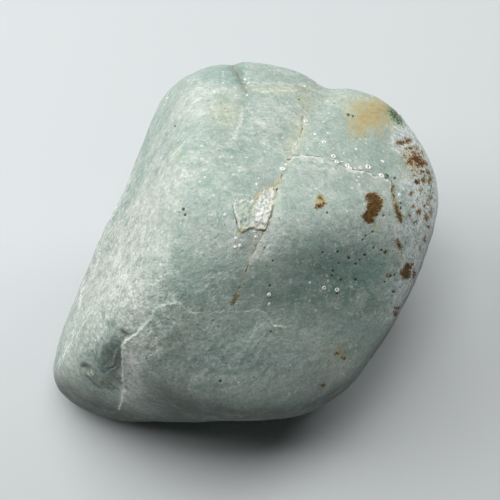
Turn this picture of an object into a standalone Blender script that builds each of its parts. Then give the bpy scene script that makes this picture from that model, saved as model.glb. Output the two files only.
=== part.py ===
"""A raw jade boulder: one river-worn lump of pale jade, lying on its flattest side.

Millimetres in the constants, metres in the model, +Z up. The origin is the middle of the underside,
on the surface that the boulder rests on. The side worth looking at, its show face, looks up and
forward, out of -Y.
"""

import math

import bmesh
import bpy
import numpy as np

MM = 0.001

# The show face looks out at this angle above the horizon, towards -Y. The relief on it is laid out
# as it is seen from SIGHT away from the boulder's heart: to the right of the heart, then up the face.
SHOW_RISE = math.radians(55)
SHOW_ACROSS = np.array([1.0, 0.0, 0.0])
SHOW_UP = np.array([0.0, math.sin(SHOW_RISE), math.cos(SHOW_RISE)])
SHOW_OUT = np.array([0.0, -math.cos(SHOW_RISE), math.sin(SHOW_RISE)])
SIGHT = 760.0

# The rough body before its faces wore: bearing round the show face, anticlockwise from the right,
# and its reach there.
BODY_REACH = (
    (0, 92.5), (20, 107), (40, 119), (57, 126), (75, 121), (90, 108), (108, 102), (122, 119),
    (140, 99), (160, 83), (178, 89), (195, 104), (207, 120), (216, 137), (227, 142), (240, 109),
    (255, 93), (270, 88.5), (288, 89), (303, 87.5), (320, 84), (340, 84.5),
)
BODY_FRONT, BODY_BACK = 98.0, 86.0  # its reach from the heart out of the show face, and into its back
BODY_FULLNESS = 2.6  # 2 is an ellipsoid, and more is boxier

# The faces that rolling wore flat: heading (0 is +X, 90 is +Y), rise above the horizon, distance
# from the heart.
WORN_FACES = {
    "base": (0, -90, 70.5),
    "top": (54, 71, 73),
    "left slope": (168, 29, 68.5),
    "right slope": (8, 54, 85),
    "front": (-72, 28, 88),
    "front right": (-47, 24, 82),
    "front left": (-125, 3, 110),
    "front foot": (-107, -14, 102),
    "back": (73, 2, 95),
    "back left": (140, -22, 86),
    "back right": (25, -26, 88),
}
EDGE_HARDNESS = 12.0  # how tightly one face turns into the next
HEART_HEIGHT = 67.0  # less than the base's distance, so that the underside is truly flat
FOOT_FILLET = 2.0  # height over which the skin leaves the flat underside

# Lumps and hollows: across, up, half-length across, half-length up, lean anticlockwise in degrees,
# height.
SWELLS = (
    (42, -14, 32, 11, 12, -1.6),  # under the shoulder
    (6, -48, 24, 12, 0, 1.0),  # belly of the front face
    (-65, 34, 15, 15, 0, -1.0),  # waist of the left side
    (62, 62, 22, 18, 0, 1.2),  # brow of the right lobe
    (8, 93, 20, 9, -12, 1.3),  # crest of the left lobe
)

# Valleys: the half-width, the depth at the first point and the least depth, then the points.
VALLEYS = (
    # between the two lobes
    (7.5, 4.2, 0.5, ((42, 90), (36, 79), (28, 65), (20, 52), (14, 37), (8, 20), (3, 2))),
    # cleft in the top rim
    (2.6, 3.4, 0.3, ((-12, 104), (-8.5, 95.5), (-4.5, 89.5), (-1.5, 83), (-2, 74))),
)

# Ledges, where a sheet has scaled off: points along the edge, each with the step's height there. The
# sheet left standing is on the right of the way that the points run.
LEDGES = {
    "lower": (
        (-69.7, -84.5, 0.3), (-67, -79, 1.0), (-65.5, -72, 1.4), (-66.6, -67.6, 1.4), (-67, -55, 1.4),
        (-67, -50, 1.4), (-64.5, -47, 1.5), (-59, -43, 1.3), (-55.4, -39.5, 1.2), (-51, -33, 0.9),
        (-47, -29, 0.9), (-43, -28, 1.0), (-38.5, -27.3, 1.0), (-34.3, -30.4, 0.9), (-30.4, -32.5, 0.5),
        (-22, -32.8, 0.15), (-13.5, -32, 0.15), (-1, -32.2, 0.2), (5.2, -31.2, 0.5), (7.8, -33, 0.9),
        (10.7, -36, 1.1), (12.2, -39, 1.1), (17.4, -39.8, 0.7), (22.6, -40.8, 0),
    ),
    "upper": (
        (18.7, 45.8, 0.2), (23.4, 48.9, 0.7), (31, 48.9, 0.4), (39.8, 47.8, 0.6), (42.9, 46.3, 0.9),
        (47, 44.7, 1.1), (52.8, 41.3, 1.1), (60, 40.6, 1.1), (67, 37.7, 1.1), (71.2, 36.4, 1.2),
        (73.3, 34.8, 1.2), (73.1, 29.4, 1.0), (74.6, 26.5, 0.9), (75.4, 22.9, 1.0), (78.3, 15.9, 0),
    ),
}
# The pocket in the low corner, its far wall the standing side of the lower ledge: across, up,
# half-length across, half-length up, lean, depth.
POCKET = (-67.5, -60, 12, 13, 0, 6.0)
LEDGE_RUN = 2.2  # half the width of the step at an edge
LEDGE_END = 0.08  # share of a ledge's length over which its step dies out at each end
# Shares of the step that the sheet rises and the ground beside it sinks, and how far from the edge
# each keeps its level.
SHEET_SHARE, SHEET_FADE = 0.6, 24.0
SCALED_SHARE, SCALED_FADE = 0.4, 9.0

# The scab left beside the crack: its middle, its half-lengths along and across, its lean, and the
# height of its foot. It tilts, so that its head lies as a shallow dent.
SCAB = (3.5, 18.5, 20, 7.5, 58, 1.0)
SCAB_TILT = 1.4  # heights that it falls from its middle to its head
SCAB_DENT = 0.8  # the dent's depth, as a share of the foot's height
SCAB_RIM = 0.3  # share of its size over which its edge falls away

# Hollows and bosses out of sight of the show face: heading, rise, angular half-width, height.
FAR_SWELLS = (
    (70, 15, 22, -3.0), (120, -5, 14, 1.8), (25, 0, 16, -2.2), (160, -25, 13, -2.0),
    (-150, -30, 14, -1.5), (55, -40, 14, 1.6), (95, 45, 12, -1.4), (-20, -35, 12, -1.2),
)

# Slow waves all over: the counts of radians per metre along X, Y and Z, the phase, the height.
WAVES = (
    (75, 60, -40, 0.4, 0.40), (-50, 90, 70, 2.1, 0.35), (110, -60, 95, 4.0, 0.20),
    (170, 90, 110, 1.2, 0.10), (-120, 190, -90, 5.2, 0.08),
)

# Where relief dies out, as cosines: how far past edge-on the show face's relief goes on, how far
# short of edge-on its steps stop, and how nearly level the underside is before it is left flat.
RELIEF_END, STEP_END = 0.35, 0.2
UNDERSIDE_LEVEL, UNDERSIDE_BLEND = 0.9, 0.08

CELLS = 28  # along each side of the cube that the skin is gridded on
GATHERING = 0.42  # how far the grid is drawn towards the show face, where the relief is


def smooth(x):
    x = np.clip(x, 0, 1)
    return x * x * (3 - 2 * x)


def to_show(vectors):
    """World vectors turned to the show face's own across, up and out."""
    return vectors @ np.stack([SHOW_ACROSS, SHOW_UP, SHOW_OUT], axis=1)


def body_reach(bearing):
    """The rough body's reach at each bearing in radians: a smooth closed curve through BODY_REACH."""
    at = np.radians([b for b, _ in BODY_REACH])
    reach = np.array([float(r) for _, r in BODY_REACH])
    at = np.concatenate([at[-2:] - 2 * math.pi, at, at[:3] + 2 * math.pi])
    reach = np.concatenate([reach[-2:], reach, reach[:3]])
    bearing = np.mod(bearing, 2 * math.pi)
    i = np.searchsorted(at, bearing, side="right") - 1
    span = at[i + 1] - at[i]
    slope_in = (reach[i + 1] - reach[i - 1]) / (at[i + 1] - at[i - 1]) * span
    slope_out = (reach[i + 2] - reach[i]) / (at[i + 2] - at[i]) * span
    t = (bearing - at[i]) / span
    return (
        (2 * t**3 - 3 * t**2 + 1) * reach[i]
        + (t**3 - 2 * t**2 + t) * slope_in
        + (3 * t**2 - 2 * t**3) * reach[i + 1]
        + (t**3 - t**2) * slope_out
    )


def heading_vector(heading, rise):
    heading, rise = math.radians(heading), math.radians(rise)
    level = math.cos(rise)
    return np.array([level * math.cos(heading), level * math.sin(heading), math.sin(rise)])


def worn_radius(direction):
    """How far the worn body reaches from its heart in each direction."""
    across, up, out = to_show(direction).T
    round_reach = body_reach(np.arctan2(up, across))
    deep_reach = np.where(out > 0, BODY_FRONT, BODY_BACK)
    body = (np.hypot(across, up) / round_reach) ** BODY_FULLNESS
    body += (np.abs(out) / deep_reach) ** BODY_FULLNESS
    total = body ** (EDGE_HARDNESS / BODY_FULLNESS)
    for heading, rise, distance in WORN_FACES.values():
        total += (np.maximum(direction @ heading_vector(heading, rise), 0) / distance) ** EDGE_HARDNESS
    return total ** (-1 / EDGE_HARDNESS)


def seen_points(points):
    """Where each point is seen on the show face: to the right of the heart, and up."""
    across, up, out = to_show(points).T
    return np.column_stack([across, up]) * (SIGHT / (SIGHT - out))[:, None]


def along_path(seen, path):
    """Each seen point's distance from the path, positive on its left, and where the nearest point is.

    The nearest point comes with the path's own values there, and as a share of the path's length.
    """
    path = np.array(path, dtype=float)
    run = np.concatenate([[0], np.cumsum(np.linalg.norm(np.diff(path[:, :2], axis=0), axis=1))])
    at = np.linspace(0, run[-1], int(run[-1]) + 2)
    trace = np.column_stack([np.interp(at, run, column) for column in path.T])
    tangent = np.gradient(trace, axis=0)
    away = seen[:, None, :] - trace[None, :, :2]
    near = np.argmin((away**2).sum(axis=2), axis=1)
    away = away[np.arange(len(seen)), near]
    side = np.sign(tangent[near, 0] * away[:, 1] - tangent[near, 1] * away[:, 0])
    return np.linalg.norm(away, axis=1) * side, trace[near], at[near] / run[-1]


def leaned_distance(seen, across, up, half_across, half_up, lean):
    """Distance of each seen point from the middle, where 1 is the oval itself, and its two parts."""
    lean = math.radians(lean)
    x, y = seen[:, 0] - across, seen[:, 1] - up
    x, y = x * math.cos(lean) + y * math.sin(lean), y * math.cos(lean) - x * math.sin(lean)
    return np.hypot(x / half_across, y / half_up), x / half_across, y / half_up


def show_relief(seen):
    """Height of the rounded relief on the show face at each seen point."""
    height = np.zeros(len(seen))
    for *oval, rise in SWELLS:
        height += rise * np.exp(-(leaned_distance(seen, *oval)[0] ** 2))
    for half_width, deepest, least, path in VALLEYS:
        away, _, along = along_path(seen, path)
        height -= (least + (deepest - least) * (1 - along) ** 3) * np.exp(-((away / half_width) ** 2))
    *oval, foot = SCAB
    away, along, _ = leaned_distance(seen, *oval)
    tilted = np.clip(-SCAB_TILT * along, -SCAB_DENT, 1)
    height += foot * tilted * smooth((1 + SCAB_RIM / 2 - away) / SCAB_RIM)
    return height


def scaled_relief(seen):
    """Height of the ledges and the pocket at each seen point."""
    height = np.zeros(len(seen))
    for name, path in LEDGES.items():
        away, nearest, along = along_path(seen, path)
        onto = -away
        ends = smooth(along / LEDGE_END) * smooth((1 - along) / LEDGE_END)
        sheet = SHEET_SHARE * np.exp(-onto / SHEET_FADE)
        scaled = SCALED_SHARE * np.exp(onto / SCALED_FADE)
        level = np.where(onto > 0, sheet, scaled)
        height += nearest[:, 2] * ends * level * np.clip(onto / LEDGE_RUN, -1, 1)
        if name == "lower":
            *oval, depth = POCKET
            scaled_off = np.clip(0.5 - onto / LEDGE_RUN / 2, 0, 1)
            height -= depth * np.exp(-(leaned_distance(seen, *oval)[0] ** 2)) * scaled_off
    return height


def far_relief(direction):
    height = np.zeros(len(direction))
    for heading, rise, half_width, bump in FAR_SWELLS:
        away = np.degrees(np.arccos(np.clip(direction @ heading_vector(heading, rise), -1, 1)))
        height += bump * np.exp(-((away / half_width) ** 2))
    return height


def resting_height(z):
    """Heights with all that would be below the surface laid flat on it, and a fillet up from there."""
    return np.where(z < FOOT_FILLET, FOOT_FILLET * np.clip((z / FOOT_FILLET + 1) / 2, 0, 1) ** 2, z)


def skin_grid():
    """A closed grid of quads on the unit sphere, from a cube, with smaller cells at the show face."""
    mesh = bmesh.new()
    bmesh.ops.create_cube(mesh, size=2)
    bmesh.ops.subdivide_edges(mesh, edges=mesh.edges[:], cuts=CELLS - 1, use_grid_fill=True)
    at = np.tan(np.array([v.co for v in mesh.verts]) * math.pi / 4)  # evens out the cells
    at /= np.linalg.norm(at, axis=1)[:, None]
    # Every point slides along its great circle towards +Z, which is then turned to the show face.
    away = np.arccos(np.clip(at[:, 2], -1, 1))
    gathered = away - GATHERING * np.sin(away)
    ring = at[:, :2] / np.maximum(np.linalg.norm(at[:, :2], axis=1), 1e-9)[:, None]
    at = np.column_stack([ring * np.sin(gathered)[:, None], np.cos(gathered)])
    return mesh, at @ np.stack([SHOW_ACROSS, SHOW_UP, SHOW_OUT])


def place(mesh, points):
    for vertex, point in zip(mesh.verts, points):
        vertex.co = point * MM
    mesh.normal_update()
    return np.array([v.normal for v in mesh.verts])


def boulder():
    mesh, direction = skin_grid()
    points = direction * worn_radius(direction)[:, None]
    normal = place(mesh, points)
    turn = [face.normal.dot(face.calc_center_median()) for face in mesh.faces]
    if min(turn) < 0:
        raise ValueError("the skin is turned inside out")
    facing = smooth((normal @ SHOW_OUT + RELIEF_END) / RELIEF_END)
    height = facing * show_relief(seen_points(points)) + (1 - facing) * far_relief(direction)
    for *count, phase, rise in WAVES:
        height += rise * np.sin(points @ np.array(count) * MM + phase)
    height *= 1 - smooth((-normal[:, 2] - UNDERSIDE_LEVEL) / UNDERSIDE_BLEND)
    points += normal * height[:, None]
    # The steps are cut along the line of sight, so that each edge stays where it is seen.
    sight_line = SHOW_OUT * SIGHT - points
    sight_line /= np.linalg.norm(sight_line, axis=1)[:, None]
    step = smooth(normal @ SHOW_OUT / STEP_END) * scaled_relief(seen_points(points))
    points += sight_line * step[:, None]
    points[:, 2] += HEART_HEIGHT
    points[:, :2] -= (points.min(axis=0) + points.max(axis=0))[:2] / 2
    points[:, 2] = resting_height(points[:, 2])
    place(mesh, points)
    data = bpy.data.meshes.new("jade_boulder")
    mesh.to_mesh(data)
    mesh.free()
    data.shade_smooth()
    made = bpy.data.objects.new("jade_boulder", data)
    bpy.context.scene.collection.objects.link(made)
    return made


def jade():
    """Pale grey-green jade with a dull water-worn skin."""
    material = bpy.data.materials.new("jade")
    material.use_nodes = True
    shader = material.node_tree.nodes["Principled BSDF"]
    shader.inputs["Base Color"].default_value = (0.50, 0.56, 0.50, 1)
    shader.inputs["Roughness"].default_value = 0.5
    return material


def main():
    for old in list(bpy.data.objects):
        bpy.data.objects.remove(old)
    boulder().data.materials.append(jade())


main()
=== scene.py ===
import math

import bmesh
import bpy
import numpy as np
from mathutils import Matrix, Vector, noise
from mathutils.bvhtree import BVHTree


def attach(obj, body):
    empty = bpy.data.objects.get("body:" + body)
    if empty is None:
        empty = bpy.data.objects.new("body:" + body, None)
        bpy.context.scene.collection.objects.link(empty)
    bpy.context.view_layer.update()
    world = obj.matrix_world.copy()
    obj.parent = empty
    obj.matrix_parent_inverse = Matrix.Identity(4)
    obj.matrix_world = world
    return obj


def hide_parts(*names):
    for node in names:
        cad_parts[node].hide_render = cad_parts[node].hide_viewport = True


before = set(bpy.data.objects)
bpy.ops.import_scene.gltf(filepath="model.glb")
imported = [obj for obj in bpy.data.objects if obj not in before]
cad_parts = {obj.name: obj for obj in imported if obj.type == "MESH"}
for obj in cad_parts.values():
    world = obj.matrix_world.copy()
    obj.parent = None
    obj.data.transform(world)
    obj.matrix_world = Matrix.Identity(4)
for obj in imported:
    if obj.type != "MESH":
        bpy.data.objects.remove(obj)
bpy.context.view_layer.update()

# ---- The worn body
# One lump of jade, rolled by a river until its faces went broad and smooth. Its form is the CAD node's,
# with that node's wide steps taken off again, so that the real edges can be cut in their place.

# Sizes are in mm. What lies on the show face is laid out as it is seen from SIGHT away: to the right of
# the boulder's heart, then up the show face.
MM = 0.001
SHOW_RISE = math.radians(55)
SHOW_ACROSS = np.array([1.0, 0.0, 0.0])
SHOW_UP = np.array([0.0, math.sin(SHOW_RISE), math.cos(SHOW_RISE)])
SHOW_OUT = np.array([0.0, -math.cos(SHOW_RISE), math.sin(SHOW_RISE)])
HEART = np.array([3.85, -1.14, 67.0])
SIGHT = 760.0

# Edges of sheets that scaled off, each point with the height of the step, and how freshly chipped and
# pale its lip is. The sheet that stands is on the right of the way that the points run.
LOWER_LEDGE = (
    (-69.7, -84.5, 0.3, -0.8), (-68.6, -82.4, 0.6, 1.0), (-67, -79, 1.0, 1.0), (-65.5, -72, 1.4, 0.7),
    (-66.6, -67.6, 1.4, 0.2), (-67, -55, 1.4, 0.0), (-67, -50, 1.4, 0.3), (-64.5, -47, 1.5, 0.9),
    (-59, -43, 1.3, 0.5), (-55.4, -39.5, 1.1, 0.0), (-51, -33, 0.8, -0.2), (-47, -29, 0.8, 0.0),
    (-43, -28, 1.0, 0.25), (-38.5, -27.3, 1.0, 0.25), (-34.3, -30.4, 0.9, 0.0), (-30.4, -32.5, 0.5, 0),
    (-22, -32.8, 0.15, -0.1), (-13.5, -32, 0.15, 0.1), (-1, -32.2, 0.2, 0.1), (5.2, -31.2, 0.5, 0),
    (7.8, -33, 0.9, 0.2), (10.7, -36, 1.1, 0.2), (12.2, -39, 1.1, 0.4), (17.4, -39.8, 0.7, 0.7),
    (22.6, -40.8, 0, 0.2),
)
UPPER_LEDGE = (
    (18.7, 45.8, 0.2, 0.3), (23.4, 48.9, 0.7, 0.7), (31, 48.9, 0.4, 0.9), (39.8, 47.8, 0.6, 0.5),
    (42.9, 46.3, 0.9, 0.6), (47, 44.7, 1.1, 0.5), (52.8, 41.3, 1.1, 0.9), (60, 40.6, 1.1, 0.9),
    (67, 37.7, 1.1, 0.5), (71.2, 36.4, 1.2, 0.6), (73.3, 34.8, 1.2, 1.0), (73.1, 29.4, 1.0, 0.8),
    (74.6, 26.5, 0.9, 0.4), (75.4, 22.9, 1.0, 0.3), (78.3, 15.9, 0, 0.0),
)
LEDGE_END = 0.08  # share of a ledge's length over which its step dies out at each end
SHEET_SHARE, SHEET_FADE = 0.6, 24.0
SCALED_SHARE, SCALED_FADE = 0.4, 9.0
POCKET = (-67.5, -60, 12, 13, 0)
POCKET_DEPTH = 6.0
STEP_REACH, STEP_BLEND = 32.0, 8.0  # how far from its edge a step is felt, and its fading out there
STEP_END = 0.2  # how far short of edge-on the steps stop, as a cosine
CAD_RUN = 2.2  # half the width of the CAD's steps


def smooth(x):
    x = np.clip(x, 0, 1)
    return x * x * (3 - 2 * x)


def seen_from_sight(points):
    """Where each point, in mm, is seen: to the right of the heart and up the show face."""
    away = points - HEART
    flat = np.column_stack([away @ SHOW_ACROSS, away @ SHOW_UP])
    return flat * (SIGHT / (SIGHT - away @ SHOW_OUT))[:, None]


def sight_lines(points):
    lines = HEART + SHOW_OUT * SIGHT - points
    return lines / np.linalg.norm(lines, axis=1)[:, None]


def along_path(seen, path, reach=14.0, closed=False):
    """Each seen point's distance from the path, positive on its left, the path's own values at the
    nearest point, and that point as a share of the path's length."""
    path = np.array(path, dtype=float)
    if closed:
        path = np.concatenate([path, path[:1]])
    run = np.concatenate([[0], np.cumsum(np.linalg.norm(np.diff(path[:, :2], axis=0), axis=1))])
    at = np.linspace(0, run[-1], int(run[-1] / 0.5) + 2)
    trace = np.column_stack([np.interp(at, run, column) for column in path.T])
    tangent = np.gradient(trace[:, :2], axis=0)
    away, share = np.full(len(seen), reach), np.zeros(len(seen))
    values = np.zeros((len(path[0]) - 2, len(seen)))
    low, high = path[:, :2].min(axis=0) - reach, path[:, :2].max(axis=0) + reach
    close = np.flatnonzero(((seen > low) & (seen < high)).all(axis=1))
    for some in np.array_split(close, max(1, len(close) // 4000)):
        off = seen[some, None, :] - trace[None, :, :2]
        near = np.argmin((off**2).sum(axis=2), axis=1)
        off = off[np.arange(len(some)), near]
        side = np.sign(tangent[near, 0] * off[:, 1] - tangent[near, 1] * off[:, 0])
        away[some] = np.minimum(np.linalg.norm(off, axis=1), reach) * np.where(side < 0, -1, 1)
        values[:, some] = trace[near, 2:].T
        share[some] = at[near] / run[-1]
    return away, values, share


def off_middle(seen, across, up, half_across, half_up, lean=0.0):
    """Distance of each seen point from an oval's middle, where 1 is the oval itself."""
    lean = math.radians(lean)
    x, y = seen[:, 0] - across, seen[:, 1] - up
    x, y = x * math.cos(lean) + y * math.sin(lean), y * math.cos(lean) - x * math.sin(lean)
    return np.hypot(x / half_across, y / half_up)


def steps(seen, run):
    """Height of the ledges and the pocket at each seen point, for steps of that half-width."""
    height = np.zeros(len(seen))
    for path in (LOWER_LEDGE, UPPER_LEDGE):
        away, (step, _), share = along_path(seen, path, reach=STEP_REACH)
        onto = -away
        ends = smooth(share / LEDGE_END) * smooth((1 - share) / LEDGE_END)
        sheet = SHEET_SHARE * np.exp(-onto / SHEET_FADE)
        level = np.where(onto > 0, sheet, SCALED_SHARE * np.exp(onto / SCALED_FADE))
        near = smooth((STEP_REACH - np.abs(onto)) / STEP_BLEND)
        height += step * ends * level * near * np.clip(onto / run, -1, 1)
        if path is LOWER_LEDGE:
            depth = POCKET_DEPTH * np.exp(-(off_middle(seen, *POCKET) ** 2))
            height -= depth * np.clip(0.5 - onto / run / 2, 0, 1)
    return height


def coordinates(mesh):
    return np.array([v.co for v in mesh.verts]) / MM


def normals_of(mesh):
    mesh.normal_update()
    return np.array([v.normal for v in mesh.verts])


def move_to(mesh, points):
    for vertex, point in zip(mesh.verts, points * MM):
        vertex.co = point


mesh = bmesh.new()
mesh.from_mesh(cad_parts["jade_boulder"].data)
bmesh.ops.remove_doubles(mesh, verts=mesh.verts[:], dist=1e-5)
underside = [f for f in mesh.faces if all(v.co.z < 1e-5 for v in f.verts)]
bmesh.ops.delete(mesh, geom=underside, context="FACES")
bmesh.ops.join_triangles(
    mesh,
    faces=mesh.faces[:],
    angle_face_threshold=math.radians(40),
    angle_shape_threshold=math.radians(60),
)
# The steps turn the very normals that say how much of them to take off, so it takes a few rounds.
stepped = coordinates(mesh)
for _ in range(3):
    facing = smooth(normals_of(mesh) @ SHOW_OUT / STEP_END)
    wide = facing * steps(seen_from_sight(stepped), CAD_RUN)
    move_to(mesh, stepped - sight_lines(stepped) * wide[:, None])
skin = bpy.data.objects.new("jade_skin", bpy.data.meshes.new("jade_skin"))
mesh.to_mesh(skin.data)
mesh.free()
bpy.context.scene.collection.objects.link(skin)
rounding = skin.modifiers.new("rounding", "SUBSURF")
rounding.levels = rounding.render_levels = 2
evaluated = skin.evaluated_get(bpy.context.evaluated_depsgraph_get())
skin.data = bpy.data.meshes.new_from_object(evaluated)
skin.modifiers.clear()

# ---- Its broken edges, cracks and pores
# The steps where sheets split off, a fine crack down between the two lobes, the scab of crushed stone
# beside it, the pocket's own breaks, and the pinholes where softer grains have weathered out.

# Each point with how open the crack is there, from 0 to 1.
CRACKS = (
    (
        (39, 90, 0.3), (33, 84, 0.4), (28.6, 80.6, 0.2), (27.6, 72, 0.5), (27, 61.8, 0.6), (24.6, 55, 0.3),
        (21.8, 49.4, 0.6), (17.2, 40.6, 0.9), (14, 31.7, 0.8), (11.4, 22.9, 0.8), (9.4, 14.6, 0.9),
        (6.8, 8.8, 0.6), (3.6, 2.6, 0.7), (0.5, -4.2, 0.7), (-2.1, -11.4, 0.8), (-4.6, -18, 0.6),
        (-5.9, -20.8, 1.0), (-8.8, -26, 0.9), (-10.5, -29, 0.2),
    ),
    (
        (-11, 102, 0.3), (-8.5, 95.5, 0.4), (-4.5, 89.5, 0.5), (-1.5, 83, 0.4), (-2, 75, 0.2),
        (-4.7, 67.6, 0.1),
    ),
    ((-86.5, -60, 0.2), (-84.5, -62.2, 1.0), (-81.6, -64.5, 1.0), (-75.7, -69.4, 0.5), (-73, -71, 0.1)),
)
SCAB = (
    (-8.9, 24), (-7.8, 26.3), (-3.3, 26.7), (0.5, 25.5), (3.1, 28.1), (4.7, 30.4), (8.7, 31.5),
    (12, 32.8), (14.6, 34.3), (16.1, 38.5), (17.7, 41.1), (15.1, 32.8), (12.5, 24.4), (10.4, 17.2),
    (8.8, 12), (7.5, 9.7), (4.2, 10.9), (-0.3, 10.9), (-3.9, 9.1), (-4.8, 8.9), (-6.9, 14.2),
    (-8.3, 19.6),
)
# The breaks inside the pocket: across, up, half-lengths, lean and height.
POCKET_BREAKS = (
    (-69.4, -57.4, 5.6, 7.6, 0, -2.5), (-70.2, -70.4, 5.2, 3.4, -16, -2.2),
    (-71.3, -56.6, 0.7, 3.6, -16, 1.5), (-73.6, -61.0, 2.4, 0.7, 14, 0.9),
    (-72.3, -63.2, 2.8, 0.8, 20, 0.9), (-85.0, -61.4, 2.4, 1.4, -40, -2.0),
    (-80.0, -66.4, 0.8, 5.6, 52, 0.9), (-80.6, -68.4, 0.8, 5.0, 52, -0.9),
)
# The cleft between the two lobes at the top, a chip out of the rock just above the lower ledge, and the
# hollows in the pocket; all three are darkened with painted shade.
CLEFT = ((-9.5, 98), (-6.0, 92.5), (-3.5, 88), (-1.5, 84))
NOTCH = ((-67.4, -41.6), (-63.6, -43.4), (-60.4, -43.4), (-62.8, -45.4), (-66.8, -48.6))
NOTCH_DEPTH, CLEFT_DEPTH, CLEFT_WIDTH = 2.2, 1.3, 2.2
SHADED_HOLLOWS = (
    (-71.0, -57.4, 5.4, 6.6, 8, 0.9), (-68.6, -62.5, 2.4, 8.5, 3, 0.95),
    (-75.5, -62.5, 4.0, 3.0, 10, 0.5), (-70.6, -70.0, 4.8, 2.8, -18, 0.75),
    (-84.6, -61.6, 2.4, 1.9, -40, 0.9), (-79.5, -67.8, 4.2, 1.4, -38, 0.5),
)
# Pinholes: across, up and radius, and how much wider than that their mouths have worn.
PINHOLES = (
    (45.8, -1, 0.6), (51.5, -4.2, 0.7), (46.3, -6.8, 0.5), (59.8, -2.6, 0.7), (57.2, -5.2, 0.5),
    (55.1, -7.3, 0.6), (43.2, -10.9, 0.6), (42.6, -13.5, 0.5), (47.3, -15.6, 0.6), (55.1, -15.6, 0.7),
    (70.2, -16.6, 0.5), (73.3, -13.5, 0.6), (75.4, -13, 0.5), (68.6, 0, 0.6), (64.5, 1, 0.6),
    (58.8, 5.2, 0.5), (60.3, 7.3, 0.5), (64, 9.4, 0.6), (10.4, -18.7, 0.6), (12, -5.7, 0.5),
    (37.9, -1.3, 0.5), (74.9, -21.8, 0.7), (45.2, -22.4, 0.6), (-15.4, -68.3, 0.7), (10.9, -42.6, 0.5),
    (75.2, 37.2, 0.6), (86.3, 34.8, 0.9), (68.5, 22.9, 0.6), (69.7, 18, 0.6), (78.3, 24.2, 0.5),
    (78.5, 21.7, 0.6), (-34.8, 21.3, 0.8), (-33.8, 18.2, 0.6), (-39.3, 64.7, 0.5), (51.2, 70.2, 0.7),
    (53.6, 69.4, 0.5), (25.6, 78.6, 0.4), (40.3, 19.4, 0.5), (77.4, -30.4, 0.6), (75.8, -34.2, 0.6),
)
PINHOLE_MOUTH = 1.25
SHARP_RUN = 0.5  # half the width of a broken edge
# How far broken edges stray from their paths, the length of that straying, and its two seeds.
JAGS = ((0.45, 2.6, 1, 2), (0.20, 1.1, 11, 12))
# The depth and half-width of an open crack, and of the dip that it lies in.
CRACK_SLIT, CRACK_DIP = (0.4, 0.35), (0.15, 1.6)
SCAB_HEIGHT, SCAB_EDGE = 0.85, 0.6
# Where the show face's rim is a little fuller: across, up, half-lengths, lean and height. The cosines say
# how far past edge-on that goes, and over how much it grows.
RIM_PAST, RIM_GROWTH = 0.7, 0.5
FULLER = (
    (90, 42, 16, 22, 0, 1.6), (70, 76, 20, 16, 0, 1.6), (22, 96, 16, 12, 0, 1.3),
    (-90, -76, 20, 16, 0, 1.5),
)
# Unevenness of the whole skin, of its sugary stretches and of the scab's crumbs: height, size of its
# lumps and seed.
WEAR = ((0.16, 14, 3), (0.12, 6, 4))
SUGAR = ((0.26, 4.2, 13), (0.14, 2.4, 5))
CRUMBS = ((0.5, 2.6, 6), (0.35, 1.2, 7))
# Where the skin is coarse and sugary: across, up, half-lengths, lean and strength.
COARSE = (
    (-74, 4, 18, 50, -27, 1.0), (-80, -34, 26, 26, -20, 1.0), (-52, -34, 22, 22, 0, 0.8),
    (-20, -62, 60, 22, 0, 0.45), (60, 0, 14, 26, 0, 0.3), (86, 20, 12, 50, 0, 0.6),
    (-74, -78, 30, 14, 0, 0.7),
)


def clouded(ovals):
    """Strength of a tint at each point of the skin's show face, softly, from its clouds."""
    clear = np.ones(len(seen))
    for *oval, strength in ovals:
        clear *= 1 - strength * np.exp(-(off_middle(seen, *oval) ** 2))
    return (1 - clear) * facing


def lumps(points, size, seed):
    """Smooth noise of about -1 to 1, with lumps of that size in mm."""
    shift = Vector((seed * 17.3, seed * 5.1, seed * 9.7))
    return np.array([noise.noise(Vector(p) / size + shift) for p in points]) * 1.6


def uneven_by(table):
    return sum(height * lumps(points, size, seed) for height, size, seed in table)


def into_outline(seen, outline):
    """How far inside a closed outline each seen point is. Outside it, the distance is negative."""
    away = np.abs(along_path(seen, outline, closed=True)[0])
    inside = np.zeros(len(seen), bool)
    for (across, up), (to_across, to_up) in zip(outline, outline[1:] + outline[:1]):
        crossed = (seen[:, 1] < up) != (seen[:, 1] < to_up)
        slope = (to_across - across) / (to_up - up if to_up != up else 1)
        inside ^= crossed & (seen[:, 0] < across + (seen[:, 1] - up) * slope)
    return np.where(inside, away, -away)


def refine(mesh, wanted):
    """Halves the cells whose middles wanted() picks."""
    middles = np.array([f.calc_center_median() for f in mesh.faces]) / MM
    normals = np.array([f.normal for f in mesh.faces])
    picked = wanted(seen_from_sight(middles)) & (normals @ SHOW_OUT > 0)
    mesh.faces.ensure_lookup_table()
    edges = {e for i in np.flatnonzero(picked) for e in mesh.faces[i].edges}
    bmesh.ops.subdivide_edges(mesh, edges=list(edges), cuts=1, use_grid_fill=True)


def near_lines(width):
    def wanted(seen):
        picked = np.zeros(len(seen), bool)
        for path in (LOWER_LEDGE, UPPER_LEDGE) + CRACKS:
            picked |= np.abs(along_path(seen, path, reach=4.0)[0]) < width
        picked |= np.abs(along_path(seen, SCAB, reach=4.0, closed=True)[0]) < width
        return picked

    return wanted


def near_pinholes(seen):
    picked = np.zeros(len(seen), bool)
    for across, up, radius in PINHOLES:
        picked |= np.hypot(seen[:, 0] - across, seen[:, 1] - up) < radius + 0.6
    return picked


def broken_ground(seen):
    in_pocket = off_middle(seen, -76, -60, 12.5, 15.5) < 1
    in_scab = off_middle(seen, 4, 21.5, 12, 13) < 1
    return near_lines(1.15)(seen) | in_pocket | in_scab


def sharp_edges(seen):
    return near_lines(0.6)(seen) | near_pinholes(seen)


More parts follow.
